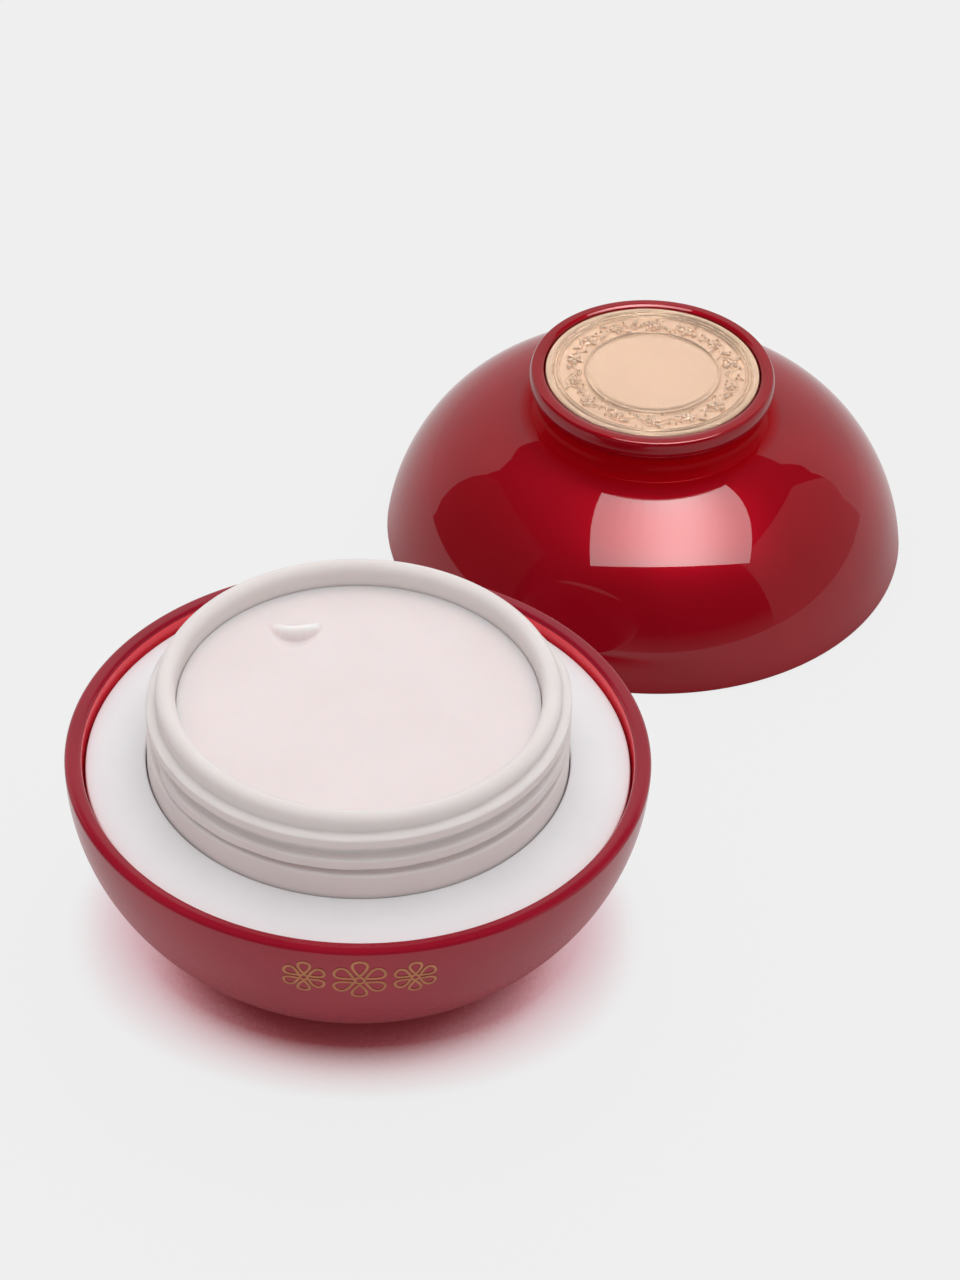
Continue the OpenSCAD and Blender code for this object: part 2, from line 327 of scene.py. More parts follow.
def makeFoam():
    mat, n, shader, place = newMaterial("closedCellFoam")
    cells = n.add("ShaderNodeTexVoronoi")
    n.put(cells, Scale=3000.0)
    n.join(place, "Object", cells, "Vector")
    toneFrom(n, place, shader, 150, 3, (0.80, 0.79, 0.76), (0.86, 0.85, 0.82))
    n.join(rangeFrom(n, cells, "Distance", 0.75, 0.9), "Result", shader, "Roughness")
    bumpFrom(n, shader, [(cells, "Distance", 1.0)], 0.5, 0.0001)
    return mat


goldFinish = {
    # low is the tone of the lowest parts, painted darker than the relief's tops as shade
    "high": (0.785, 0.55, 0.39), "low": (0.80, 0.54, 0.38), "relief": (0.86, 0.62, 0.46),
    "roughness": 0.24, "lowRoughness": 0.34, "plateMetal": 0.7, "reliefMetal": 0.6,
}


def makeGold(name, lowZ, highZ, metal, high):  # lower parts are painted a darker tone as shade in the recesses, and are rougher than the polished tops
    mat, n, shader, place = newMaterial(name)
    split = n.add("ShaderNodeSeparateXYZ")
    n.join(place, "Object", split, "Vector")
    height = rangeFrom(n, split, "Z", 0.0, 1.0, lowZ, highZ)
    cloud = noiseFrom(n, place, 500, 4)
    mix = n.add("ShaderNodeMath", operation="MULTIPLY_ADD")
    n.join(cloud, "Fac", mix, 0)
    mix.inputs[1].default_value = 0.25
    n.join(height, "Result", mix, 2)
    tone = rampFrom(n, mix, "Value", [(0.05, goldFinish["low"]), (0.8, high)])
    n.join(tone, "Color", shader, "Base Color")
    n.join(rangeFrom(n, mix, "Value", goldFinish["lowRoughness"], goldFinish["roughness"]),
           "Result", shader, "Roughness")
    fine = noiseFrom(n, place, 2500, 3, 0.6)
    n.put(shader, Metallic=metal)
    bumpFrom(n, shader, [(fine, "Fac", 1.0)], 0.08, 0.00003)
    return mat


def makeFoil():  # stamped copper foil, a little worn
    mat, n, shader, place = newMaterial("copperFoil")
    cloud = toneFrom(n, place, shader, 700, 4, (0.40, 0.155, 0.065), (0.52, 0.22, 0.10))[0]
    n.join(rangeFrom(n, cloud, "Fac", 0.4, 0.55), "Result", shader, "Roughness")
    n.put(shader, Metallic=0.5)
    bumpFrom(n, shader, [(cloud, "Fac", 1.0)], 0.1, 0.00003)
    return mat


def makeAdhesive():
    mat, n, shader, place = newMaterial("adhesiveSheet")
    cloud = toneFrom(n, place, shader, 400, 4, (0.62, 0.60, 0.52), (0.70, 0.68, 0.60))[0]
    n.join(rangeFrom(n, cloud, "Fac", 0.35, 0.6), "Result", shader, "Roughness")
    bumpFrom(n, shader, [(cloud, "Fac", 1.0)], 0.2, 0.0001)
    return mat


lidRed = makeLacquer("lidLacquer", lacquer["lidDark"], lacquer["lidLight"], lacquer["lidGloss"],
                     lacquer["lidCoat"], True)
baseRed = makeLacquer("baseLacquer", lacquer["baseDark"], lacquer["baseLight"], lacquer["baseGloss"],
                      lacquer["baseCoat"], False)
boreLitRed = makeLitBore()
neckIvory = makePlastic("ivoryPlastic", (0.745, 0.69, 0.675), (0.775, 0.72, 0.705), 0.36, 1200, 0.35)
linerIvory = makePlastic("linerPlastic", (0.80, 0.78, 0.75), (0.84, 0.82, 0.79), 0.40, 1200, 0.3)
collarWhite = makePlastic("satinCollar", (0.80, 0.785, 0.80), (0.83, 0.815, 0.83), 0.38, 2200, 0.2)
creamPaste = makePaste()
foamSheet = makeFoam()
adhesive = makeAdhesive()
foilGold = makeFoil()
print("materials made")


bowl = {
    "rimWidth": 2.1 * mm, "rimRound": 0.5 * mm, "wall": 3.3 * mm, "floor": 3.1 * mm, "lift": 0.4 * mm,
    "footRadius": 13.9 * mm, "footRound": 0.6 * mm, "boreTaper": 0.3 * mm, "ledgeDrop": 4.0 * mm,
}
rimInner = jarRadius - bowl["rimWidth"]
boreRadius = rimInner - bowl["boreTaper"]
ledgeZ = rimZ - bowl["ledgeDrop"]
bowlDepth = rimZ - bowl["lift"]


def makeBaseShell():
    b = bowl
    rr = b["rimRound"]
    footAngle = math.degrees(math.acos(b["footRadius"] / jarRadius))
    rimAngle = math.degrees(math.asin(rr / bowlDepth))
    wall = ellipse(jarRadius, bowlDepth, rimZ, footAngle, rimAngle, 110)
    cavity = ellipse(jarRadius - b["wall"], rimZ - b["floor"], rimZ,
                     math.degrees(math.asin(b["ledgeDrop"] / (rimZ - b["floor"]))), 90, 70)
    outline = [(0.0, 0.0)]
    outline += arc(b["footRadius"] - b["footRound"], b["footRound"], b["footRound"], -90, 0, 5)
    outline += wall
    outline += arc(jarRadius - rr, rimZ - rr, rr, 6, 90, 6)
    outline += arc(rimInner + rr, rimZ - rr, rr, 90, 180, 6)
    outline += [(boreRadius, ledgeZ)] + cavity
    outline[-1] = (0.0, outline[-1][1])
    shell = lathe("baseShell", dense(outline, 0.7 * mm), 256)
    shell.data.materials.append(baseRed)
    shell.data.materials.append(boreLitRed)
    for face in shell.data.polygons:
        c = face.center
        # faces inside the rim take the bore's painted brighter red
        if c.z > ledgeZ - 0.1 * mm and math.hypot(c.x, c.y) < rimInner + 0.05 * mm:
            face.material_index = 1
    return shell


neck = {
    "radius": 24.7 * mm, "wall": 2.4 * mm, "cupGap": 2.9 * mm, "cupRound": 13.0 * mm, "cupFloor": 1.6 * mm,
    "flange": 1.2 * mm, "flangeClear": 0.3 * mm, "band": 3.0 * mm, "bandRound": 0.4 * mm,
    "depth": 1.2 * mm, "crest": 1.3 * mm, "root": 1.9 * mm, "pitch": 3.2 * mm, "turns": 1.6,
    "start": 40.0, "lead": 0.09, "drop": 2.0 * mm,
}
neckInner = neck["radius"] - neck["wall"]
cupZ = bowl["floor"] + neck["cupGap"]
flangeTop = ledgeZ + neck["flange"]
threadTop = neckTop - neck["drop"]


def cupInside(gap, zTop):  # outline down the inside of the cup
    low = cupZ + neck["cupRound"]
    out = [(neckInner - gap, zTop)]
    out += ellipse(neckInner - gap, neck["cupRound"] - neck["cupFloor"] - gap, low, 0, 90, 40)
    out[-1] = (0.0, out[-1][1])
    return out


def makeInnerCup():
    k = neck
    lip = k["wall"] / 2
    crestRadius = k["radius"] + k["depth"]
    bandTop = rimZ + k["band"]
    soften = k["bandRound"]
    low = ellipse(k["radius"], k["cupRound"], cupZ + k["cupRound"], 90, 0, 40)
    low[0] = (0.0, low[0][1])
    outline = low + [(k["radius"], ledgeZ), (boreRadius - k["flangeClear"], ledgeZ),
                     (boreRadius - k["flangeClear"], flangeTop), (crestRadius, flangeTop)]
    outline += arc(crestRadius - soften, bandTop - soften, soften, 0, 90, 5)
    outline += arc(k["radius"] + soften, bandTop + soften, soften, 270, 180, 5)
    outline = dense(outline, 1.2 * mm)
    outline += dense([outline[-1], (k["radius"], neckTop - lip)], 0.14 * mm)[1:]
    outline += arc(neckInner + lip, neckTop - lip, lip, 12, 180, 16)
    outline += dense(cupInside(0.0, neckTop - lip), 1.2 * mm)[1:]

    def bend(a, r, z):
        if bandTop < z < neckTop - lip and abs(r - k["radius"]) < 0.5 * mm:
            return r + threadHeight(a, z, k, threadTop), z
        return r, z
    cup = lathe("innerCup", outline, 288, bend=bend)
    cup.data.materials.append(neckIvory)
    return cup


collar = {
    "neckClear": 0.15 * mm, "boreClear": 0.15 * mm, "thickness": 1.0 * mm, "edge": 0.25 * mm,
    "innerDrop": 0.4 * mm, "outerDrop": 1.5 * mm,
}


def makeCollar():
    c = collar
    r0 = neck["radius"] + neck["depth"] + c["neckClear"]
    r1 = boreRadius - c["boreClear"]
    z0 = rimZ - c["innerDrop"]
    z1 = rimZ - c["outerDrop"]
    t = c["thickness"]
    e = c["edge"]

    def top(r):
        return z0 + (z1 - z0) * (r - r0) / (r1 - r0)
    outline = [(r0, flangeTop), (r0, z0 - e)] + arc(r0 + e, z0 - e, e, 180, 98, 4)
    outline += [(r0 + 2 * e, top(r0 + 2 * e)), (r1 - 2 * e, top(r1 - 2 * e))]
    outline += arc(r1 - e, z1 - e, e, 82, 0, 4)
    outline += [(r1, flangeTop), (r1 - t, flangeTop), (r1 - t, top(r1 - t) - t),
                (r0 + t, top(r0 + t) - t), (r0 + t, flangeTop)]
    ring = lathe("shoulderCollar", dense(outline, 0.6 * mm), 256, closed=True)
    ring.data.materials.append(collarWhite)
    return ring


filling = {
    "drop": 2.9 * mm, "gap": 0.1 * mm, "crown": 0.25 * mm, "meniscus": 0.35 * mm,
    "peakX": -8.5 * mm, "peakY": 13.9 * mm, "peakWidth": 3.2 * mm, "peakHeight": 1.45 * mm,
    "sweep": 1.5 * mm, "scoopDepth": 0.6 * mm, "scoopLength": 2.6 * mm, "ripple": 0.04 * mm,
    "backFall": 1.2 * mm, "lipDepth": 0.25 * mm, "lipFade": 0.5 * mm, "fade": 1.5 * mm,
}


def creamCurl(x, y):  # the curl left by the filling nozzle: a lifted lip over a small scoop
    f = filling
    u = max(-1.0, min(1.0, (x - f["peakX"]) / f["peakWidth"]))
    arch = 1 - u * u
    side = (arch * (0.72 + 0.38 * u)) ** 0.7
    v = y - f["peakY"] + f["sweep"] * arch
    if v >= 0:
        return f["peakHeight"] * side * math.exp(-(v / f["backFall"]) ** 2)
    fall = min(1.0, max(0.0, -v - f["lipDepth"]) / f["lipFade"])
    s = -v / f["scoopLength"]
    scoop = f["scoopDepth"] * min(1.0, s / 0.2) * max(0.0, arch - s * s)
    return f["peakHeight"] * side * (1 - fall * fall * (3 - 2 * fall)) - scoop


def creamRise(x, y):
    wave = noise.noise(Vector((x / (5 * mm), y / (5 * mm), 0.3)))
    wave += 0.5 * noise.noise(Vector((x / (2 * mm), y / (2 * mm), 1.7)))
    return creamCurl(x, y) + filling["ripple"] * wave


def makeCream():
    f = filling
    edgeR = neckInner - f["gap"]
    edgeZ = neckTop - f["drop"]
    outline = list(reversed(cupInside(f["gap"], edgeZ)))
    outline = dense(outline, 1.5 * mm)
    n = 110
    for i in range(1, n + 1):
        t = 1 - i / n
        outline.append((edgeR * t, edgeZ + f["crown"] * (1 - t * t) + f["meniscus"] * (t ** 40 - 1)))
    topZ = edgeZ - f["meniscus"] - 0.01 * mm

    def bend(a, r, z):
        if z < topZ or r > edgeR - 0.05 * mm:
            return r, z
        return r, z + creamRise(r * math.cos(a), r * math.sin(a)) * min(1.0, (edgeR - r) / f["fade"])
    paste = lathe("creamFill", outline, 360, bend=bend)
    paste.data.materials.append(creamPaste)
    # the crest attribute sets where the painted highlight goes on the curl
    crest = paste.data.attributes.new("crest", "FLOAT", "POINT")
    for vert, item in zip(paste.data.vertices, crest.data):
        if vert.co.z > edgeZ:
            item.value = min(1.0, max(0.0, creamCurl(vert.co.x, vert.co.y) / f["peakHeight"]) * 1.4)
    return paste


dome = {
    "rimWidth": 2.1 * mm, "rimRound": 0.5 * mm, "wall": 2.6 * mm, "top": 2.0 * mm, "plate": 2.0 * mm,
    "ledge": 2.0 * mm, "ringWidth": 1.95 * mm, "ringRound": 1.55 * mm, "waistIn": 1.4 * mm,
    "waistRound": 2.4 * mm, "power": 1.55, "fullness": 4.0, "medalClear": 0.25 * mm, "hubStep": 3.4 * mm,
    "mouthBevel": 0.15 * mm, "waistEnd": 215, "crown": 0.5 * mm,
    "crease": 0.06 * mm, "domeSlope": 0.15,
}
pocketRadius = (medalHigh[0] - medalLow[0]) / 2 + dome["medalClear"]
pocketZ = medalLow[2] - 0.2 * mm


def makeLidShell():
    d = dome
    ringR = pocketRadius + d["ringWidth"]
    ringC = (ringR - d["ringRound"], lidHeight - d["ringRound"])
    waistX = ringR - d["waistIn"] + d["waistRound"]
    both = d["ringRound"] + d["waistRound"]
    waistC = (waistX, ringC[1] - math.sqrt(both ** 2 - (waistX - ringC[0]) ** 2))
    joinAngle = math.degrees(math.atan2(ringC[1] - waistC[1], ringC[0] - waistC[0]))
    domeTop = waistC[1] - d["waistRound"]
    height = domeTop / (1 - (waistX / jarRadius) ** d["fullness"]) ** (1 / d["power"])
    cavR = jarRadius - d["wall"]
    cavH = height - d["top"]

    def radiusAt(r, h, z):
        return r * (1 - (z / h) ** d["power"]) ** (1 / d["fullness"])
    rr = d["rimRound"]
    outline = [(0.0, pocketZ), (pocketRadius, pocketZ), (pocketRadius, lidHeight - d["mouthBevel"]),
               (pocketRadius + d["mouthBevel"], lidHeight)]
    crown = d["crown"]
    for i in range(17):
        a = math.pi / 2 * (1 - i / 16)
        outline.append((ringR - crown + crown * math.cos(a), ringC[1] + d["ringRound"] * math.sin(a)))
    outline += arc(ringC[0], ringC[1], d["ringRound"], 0, joinAngle - 180, 14)[1:]
    outline += arc(waistC[0], waistC[1], d["waistRound"], joinAngle, d["waistEnd"], 24)[1:]
    tangent = math.radians(d["waistEnd"])
    meetX, meetZ = outline[-1]
    while meetZ > height * (1 - (meetX / jarRadius) ** d["fullness"]) ** (1 / d["power"]):
        meetX -= math.sin(tangent) * 0.01 * mm
        meetZ += math.cos(tangent) * 0.01 * mm
    step = d["crease"]
    outline.append((meetX - step * math.sin(tangent - math.pi), meetZ - step * math.cos(tangent)))
    outline += [(meetX, meetZ), (meetX + step, meetZ - step * d["domeSlope"])]
    meetZ = outline[-1][1]
    n = 120
    for i in range(1, n + 1):
        z = 2 * rr + (meetZ - 2 * rr) * math.cos(math.pi / 2 * i / n)
        outline.append((radiusAt(jarRadius, height, z), z))
    outline += arc(jarRadius - rr, rr, rr, 0, -90, 6)
    inner = jarRadius - d["rimWidth"]
    outline += arc(inner + rr, rr, rr, -90, -180, 6) + [(inner, d["ledge"])]
    hub = pocketRadius - d["hubStep"]
    start = radiusAt(cavR, cavH, d["ledge"])
    m = 60
    for i in range(m + 1):
        r = hub + (start - hub) * math.cos(math.pi / 2 * i / m)
        outline.append((r, cavH * (1 - (r / cavR) ** d["fullness"]) ** (1 / d["power"])))
    outline += [(hub, pocketZ - d["plate"]), (0.0, pocketZ - d["plate"])]
    shell = lathe("lidShell", dense(outline, 0.7 * mm), 256, centre=(lidX, lidY))
    shell.data.materials.append(lidRed)
    return shell


liner = {
    "skirt": 1.1 * mm, "top": 1.3 * mm, "corner": 2.5 * mm, "flange": 1.2 * mm, "seatClear": 0.3 * mm,
    "threadClear": 0.4 * mm, "beadDrop": 0.7 * mm, "beadWidth": 0.8 * mm, "beadDepth": 0.7 * mm,
}
linerThread = dict(neck, turns=1.3)


def makeLiner():
    k = liner
    inner = neck["radius"] + neck["depth"] + k["threadClear"]
    outer = inner + k["skirt"]
    roof = gasketHigh[2]
    high = roof + k["top"]
    flangeR = jarRadius - dome["rimWidth"] - k["seatClear"]
    flangeLow = dome["ledge"] - k["flange"]
    beadZ = gasketLow[2] - k["beadDrop"]
    outline = [(0.0, high)] + arc(outer - k["corner"], high - k["corner"], k["corner"], 90, 0, 12)
    outline += [(outer, dome["ledge"]), (flangeR, dome["ledge"]), (flangeR, flangeLow + 0.2 * mm),
                (flangeR - 0.2 * mm, flangeLow), (inner + 0.3 * mm, flangeLow), (inner, flangeLow + 0.3 * mm)]
    outline = dense(outline, 1.0 * mm)
    outline += dense([outline[-1], (inner, beadZ - k["beadWidth"] / 2)], 0.15 * mm)[1:]
    for i in range(1, 9):
        swell = k["beadDepth"] * math.sin(math.pi * i / 8) ** 2
        outline.append((inner - swell, beadZ + k["beadWidth"] * (i / 8 - 0.5)))
    outline += dense([(inner, roof), (0.0, roof)], 1.5 * mm)
    zTop = neckTop - rimZ - neck["drop"] - neck["pitch"] / 2

    def bend(a, r, z):
        if flangeLow < z < beadZ - k["beadWidth"] / 2 and abs(r - inner) < 0.05 * mm:
            return r - threadHeight(a, z, linerThread, zTop), z
        return r, z
    cap = lathe("lidLiner", outline, 288, centre=(lidX, lidY), bend=bend)
    cap.data.materials.append(linerIvory)
    return cap


def makeGasket():
    r = (gasketHigh[0] - gasketLow[0]) / 2
    low, high = gasketLow[2], gasketHigh[2]
    e = 0.15 * mm
    seat = neck["radius"] - neck["wall"] / 2  # the ring pressed in by the neck's lip
    face = [(seat - 0.9 * mm, low), (seat, low + 0.12 * mm), (seat + 0.9 * mm, low)]
    outline = [(0.0, low)] + face + arc(r - e, low + e, e, -90, 0, 4)
    outline += arc(r - e, high - e, e, 0, 90, 4) + [(0.0, high)]
    disc = lathe("gasketDisc", dense(outline, 1.0 * mm), 192, centre=(lidX, lidY))
    disc.data.materials.append(foamSheet)
    return disc


badge = {  # heights above the medallion's underside
    "rail": 1.2 * mm, "step": 1.05 * mm, "band": 0.8 * mm, "middle": 0.93 * mm, "border": 1.08 * mm,
    "railOuter": 14.7 * mm, "bandOuter": 12.75 * mm, "bandInner": 9.35 * mm, "middleRadius": 8.7 * mm,
}


def makeMedallion():
    k = badge
    z = medalLow[2]
    edge = k["railOuter"]
    outline = [(0.0, z), (edge - 0.1 * mm, z), (edge, z + 0.1 * mm)]
    outline += [(edge, z + k["rail"] - 0.25 * mm)]
    outline += arc(edge - 0.25 * mm, z + k["rail"] - 0.25 * mm, 0.25 * mm, 15, 90, 4)
    outline += [(edge - 0.75 * mm, z + k["rail"]), (edge - 0.9 * mm, z + k["rail"] - 0.05 * mm),
                (edge - 0.95 * mm, z + k["step"] - 0.08 * mm), (edge - 1.05 * mm, z + k["step"] - 0.08 * mm)]
    outline += arc(edge - 1.3 * mm, z + k["step"] - 0.1 * mm, 0.2 * mm, 165, 15, 6)[::-1]
    outline += [(edge - 1.55 * mm, z + k["step"] - 0.12 * mm)]
    outline += arc(edge - 1.75 * mm, z + k["step"] - 0.16 * mm, 0.15 * mm, 0, 170, 6)
    outline += [(k["bandOuter"], z + k["band"] + 0.02 * mm), (k["bandOuter"] - 0.15 * mm, z + k["band"]),
                (k["bandInner"] + 0.1 * mm, z + k["band"])]
    borderR = 0.16 * mm
    outline += arc(k["bandInner"] - borderR, z + k["border"] - borderR, borderR, 0, 180, 8)
    outline += [(k["bandInner"] - 2.4 * borderR, z + k["middle"] - 0.06 * mm),
                (k["middleRadius"], z + k["middle"] - 0.06 * mm),
                (k["middleRadius"] - 0.12 * mm, z + k["middle"]), (0.0, z + k["middle"])]
    disc = lathe("medallionDisc", dense(outline, 0.5 * mm), 256, centre=(lidX, lidY))
    disc.data.materials.append(roseGold)
    return disc


bandZ = medalLow[2] + badge["band"]
railZ = medalLow[2] + badge["rail"]
goldLow = bandZ - 0.1 * mm
roseGold = makeGold("roseGoldPlate", goldLow, railZ, goldFinish["plateMetal"], goldFinish["high"])
reliefGold = makeGold("roseGoldRelief", goldLow, railZ, goldFinish["reliefMetal"], goldFinish["relief"])
print("outlines ready")


wreath = {
    "flowers": 14, "leaves": 48, "berries": 96, "waves": 14, "seed": 5,
    "radius": 11.1 * mm, "sway": 1.0 * mm, "stem": 0.12 * mm, "height": 0.36 * mm,
    "petals": 5, "petalRing": 0.62 * mm, "petalSize": (0.46 * mm, 0.34 * mm),
    "heartSize": (0.27 * mm, 0.27 * mm), "leafSize": (0.62 * mm, 0.24 * mm),
    "berrySize": (0.17 * mm, 0.17 * mm),
}


def plainMesh(obj):  # the evaluated result of the modifiers, as a mesh of its own
    bpy.context.view_layer.update()
    graph = bpy.context.evaluated_depsgraph_get()
    mesh = bpy.data.meshes.new_from_object(obj.evaluated_get(graph))
    obj.modifiers.clear()
    obj.data = mesh
    return obj


def nodeTree(name, inputs):  # a geometry tree with named number inputs
    tree = bpy.data.node_groups.new(name, "GeometryNodeTree")
    tree.interface.new_socket("Geometry", in_out="INPUT", socket_type="NodeSocketGeometry")
    tree.interface.new_socket("Geometry", in_out="OUTPUT", socket_type="NodeSocketGeometry")
    for label, kind in inputs:
        tree.interface.new_socket(label, in_out="INPUT", socket_type=kind)
    return tree


def applyTree(name, tree, values):
    obj = addObject(name, bpy.data.meshes.new(name))
    mod = obj.modifiers.new("shape", "NODES")
    mod.node_group = tree
    sockets = {s.name: s.identifier for s in tree.interface.items_tree if s.in_out == "INPUT"}
    for label, value in values.items():
        mod[sockets[label]] = value
    return plainMesh(obj)


def randomFrom(n, start, low, high, seed):
    node = n.add("FunctionNodeRandomValue", data_type="FLOAT")
    node.inputs[2].default_value = low
    node.inputs[3].default_value = high
    n.feed(n.calc("ADD", (start, "Seed"), seed), node, "Seed")
    return node, 1


def onRing(n, radius, angle):  # the point at that radius and bearing
    return n.vector(n.calc("MULTIPLY", radius, n.calc("COSINE", angle)),
                    n.calc("MULTIPLY", radius, n.calc("SINE", angle)), 0.0)


def moved(n, source, place):
    move = n.add("GeometryNodeSetPosition")
    n.feed(source, move, "Geometry")
    n.feed(place, move, "Position")
    return move, "Geometry"


def ringPoints(n, start, count, offset, swayShare, jitter, seed):  # points round the band, following the stem
    line = n.add("GeometryNodeMeshLine", mode="OFFSET")
    n.feed((start, count), line, "Count")
    index = (n.add("GeometryNodeInputIndex"), "Index")
    angle = n.calc("MULTIPLY", n.calc("DIVIDE", n.calc("ADD", index, offset), (start, count)), tau)
    swing = n.calc("SINE", n.calc("MULTIPLY", angle, (start, "Waves")))
    away = n.calc("MULTIPLY", n.calc("MULTIPLY", swing, (start, "Sway")), swayShare)
    shake = randomFrom(n, start, -jitter, jitter, seed)
    radius = n.calc("ADD", n.calc("ADD", (start, "Radius"), away), shake)
    return moved(n, (line, "Mesh"), onRing(n, radius, angle)), angle, index


def bead(n, start, size, high):  # a flattened ball; size is its half-widths
    sphere = n.add("GeometryNodeMeshUVSphere")
    n.put(sphere, Segments=10, Rings=6, Radius=1.0)
    shape = n.add("GeometryNodeTransform")
    n.feed((sphere, "Mesh"), shape, "Geometry")
    n.feed(n.vector(size[0], size[1], n.calc("MULTIPLY", (start, "Height"), high)), shape, "Scale")
    return shape, "Geometry"


def copies(n, points, shape, turn, size=1.0):
    put = n.add("GeometryNodeInstanceOnPoints")
    n.feed(points, put, "Points")
    n.feed(shape, put, "Instance")
    n.feed(n.vector(0.0, 0.0, turn), put, "Rotation")
    if isinstance(size, tuple):
        n.feed(size, put, "Scale")
    return put, "Instances"


def addStem(n, start, total, share, phase):  # one scalloped stem round the band
    circle = n.add("GeometryNodeCurvePrimitiveCircle", mode="RADIUS")
    n.put(circle, Resolution=360)
    n.feed((start, "Radius"), circle, "Radius")
    split = n.add("ShaderNodeSeparateXYZ")
    n.feed((n.add("GeometryNodeInputPosition"), "Position"), split, "Vector")
    bearing = n.calc("ARCTAN2", (split, "Y"), (split, "X"))
    wave = n.calc("SINE", n.calc("ADD", n.calc("MULTIPLY", bearing, (start, "HalfWaves")), phase))
    swing = n.calc("SUBTRACT", n.calc("MULTIPLY", n.calc("ABSOLUTE", wave), 2.0), 1.0)
    sway = n.calc("MULTIPLY", n.calc("MULTIPLY", swing, (start, "Sway")), share)
    path = moved(n, (circle, "Curve"), onRing(n, n.calc("ADD", (start, "Radius"), sway), bearing))
    cut = n.add("GeometryNodeCurvePrimitiveCircle", mode="RADIUS")
    n.put(cut, Resolution=8)
    n.feed((start, "Stem"), cut, "Radius")
    sweep = n.add("GeometryNodeCurveToMesh")
    n.feed(path, sweep, "Curve")
    n.feed((cut, "Curve"), sweep, "Profile Curve")
    n.join(sweep, "Mesh", total, "Geometry")


def addFlowers(n, start, total):  # petals round a heart, then the flowers round the band
    w = wreath
    petals = n.add("GeometryNodeMeshLine", mode="OFFSET")
    n.put(petals, Count=w["petals"])
    step = n.calc("MULTIPLY", (n.add("GeometryNodeInputIndex"), "Index"), tau / w["petals"])
    spread = moved(n, (petals, "Mesh"), onRing(n, w["petalRing"], step))
    bloom = n.add("GeometryNodeJoinGeometry")
    n.feed(copies(n, spread, bead(n, start, w["petalSize"], 0.85), step), bloom, "Geometry")
    n.feed(bead(n, start, w["heartSize"], 1.0), bloom, "Geometry")
    points, angle, index = ringPoints(n, start, "Flowers", 0.5, 0.0, 0.35 * mm, 1)
    turn = randomFrom(n, start, 0.0, tau, 2)
    size = randomFrom(n, start, 0.85, 1.1, 3)
    n.feed(copies(n, points, (bloom, "Geometry"), turn, size), total, "Geometry")


def addLeaves(n, start, total):  # to both sides of the stem, tilted one way and the other in turn
    points, angle, index = ringPoints(n, start, "Leaves", 0.5, -0.9, 0.55 * mm, 4)
    sign = n.calc("SUBTRACT", n.calc("MULTIPLY", n.calc("MODULO", index, 2.0), 2.0), 1.0)
    tilt = n.calc("MULTIPLY", sign, randomFrom(n, start, 0.35, 1.0, 5))
    turn = n.calc("ADD", n.calc("ADD", angle, tau / 4), tilt)
    leaf = bead(n, start, wreath["leafSize"], 0.8)
    n.feed(copies(n, points, leaf, turn, randomFrom(n, start, 0.8, 1.25, 6)), total, "Geometry")


def addBerries(n, start, total):
    points, angle, index = ringPoints(n, start, "Berries", 0.1, 0.3, 1.3 * mm, 7)
    berry = bead(n, start, wreath["berrySize"], 0.75)
    n.feed(copies(n, points, berry, angle, randomFrom(n, start, 0.8, 1.3, 8)), total, "Geometry")


def makeWreath():
    w = wreath
    real, whole = "NodeSocketFloat", "NodeSocketInt"
    tree = nodeTree("wreathTree", [("Radius", real), ("Sway", real), ("Stem", real), ("Height", real),
                                   ("Flowers", whole), ("Leaves", whole), ("Berries", whole),
                                   ("Waves", whole), ("HalfWaves", real), ("Seed", whole)])
    n = Nodes(tree)
    start = n.add("NodeGroupInput")
    end = n.add("NodeGroupOutput")
    total = n.add("GeometryNodeJoinGeometry")
    addStem(n, start, total, 1.0, 0.0)
    addStem(n, start, total, -0.55, tau / 4)
    addFlowers(n, start, total)
    addLeaves(n, start, total)
    addBerries(n, start, total)
    shift = n.add("GeometryNodeTransform")
    shift.inputs["Translation"].default_value = (lidX, lidY, bandZ)
    realize = n.add("GeometryNodeRealizeInstances")
    smooth = n.add("GeometryNodeSetShadeSmooth")
    finish = n.add("GeometryNodeSetMaterial")
    finish.inputs["Material"].default_value = reliefGold
    steps = [total, shift, realize, smooth, finish, end]
    for a, b in zip(steps, steps[1:]):
        n.join(a, "Geometry", b, "Geometry")
    return applyTree("medallionWreath", tree, {
        "Radius": w["radius"], "Sway": w["sway"], "Stem": w["stem"], "Height": w["height"],
        "Flowers": w["flowers"], "Leaves": w["leaves"], "Berries": w["berries"], "Waves": w["waves"],
        "HalfWaves": w["waves"] / 2, "Seed": w["seed"]})


ornament = {  # three line flowers printed in gold foil on the front of the bowl
    "width": 0.32 * mm, "lift": 0.03 * mm, "thickness": 0.05 * mm, "drop": 4.7 * mm, "gap": 6.6 * mm,
    "bearing": -87.3, "petals": 6, "size": 2.9 * mm, "sideShare": 0.92, "middleShare": 1.15,
    "petalWide": 0.27, "petalStart": 0.24, "heart": 0.17,  # shares of a flower's size
}


def flowerLines(size, petals):  # strokes of one flower in its own plane
    strokes = []
    for k in range(petals):
        a = tau * (k + 0.5) / petals
        petal = []
        for i in range(15):
            t = i / 14
            wide = math.sin(math.pi * t) * ornament["petalWide"]
            out = ornament["petalStart"] + (1 - ornament["petalStart"]) * math.sin(math.pi * t / 2)
            petal.append((out, wide))
        for side in (1, -1):
            strokes.append([(size * (x * math.cos(a) - side * y * math.sin(a)),
                             size * (x * math.sin(a) + side * y * math.cos(a))) for x, y in petal])
    heart = size * ornament["heart"]
    strokes.append([(heart * math.cos(tau * i / 24), heart * math.sin(tau * i / 24)) for i in range(25)])
    return strokes


